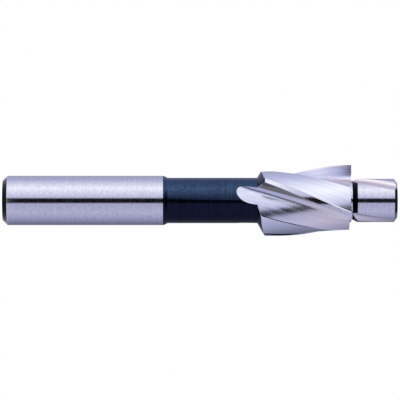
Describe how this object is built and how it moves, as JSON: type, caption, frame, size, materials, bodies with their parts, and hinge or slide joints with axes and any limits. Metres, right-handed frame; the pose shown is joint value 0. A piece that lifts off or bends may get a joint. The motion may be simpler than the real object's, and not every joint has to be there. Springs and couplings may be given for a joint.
{
  "type": "counterbore cutter",
  "caption": "Solid counterbore with a plain round shank, a blackened neck, a helically fluted head and a smooth pilot that follows a drilled hole.",
  "frame": {"origin": "centre of the flat end of the shank, on the tool's axis", "axes": "+Z along the tool's axis from the shank to the pilot, so the tool stands on its shank end"},
  "size_m": [0.018, 0.0175, 0.1],
  "materials": {
    "tool_steel": "ground bright, with a black oxide finish left on the neck"
  },
  "bodies": {
    "root": {"counterbore_cutter": "tool_steel"}
  },
  "joints": []
}
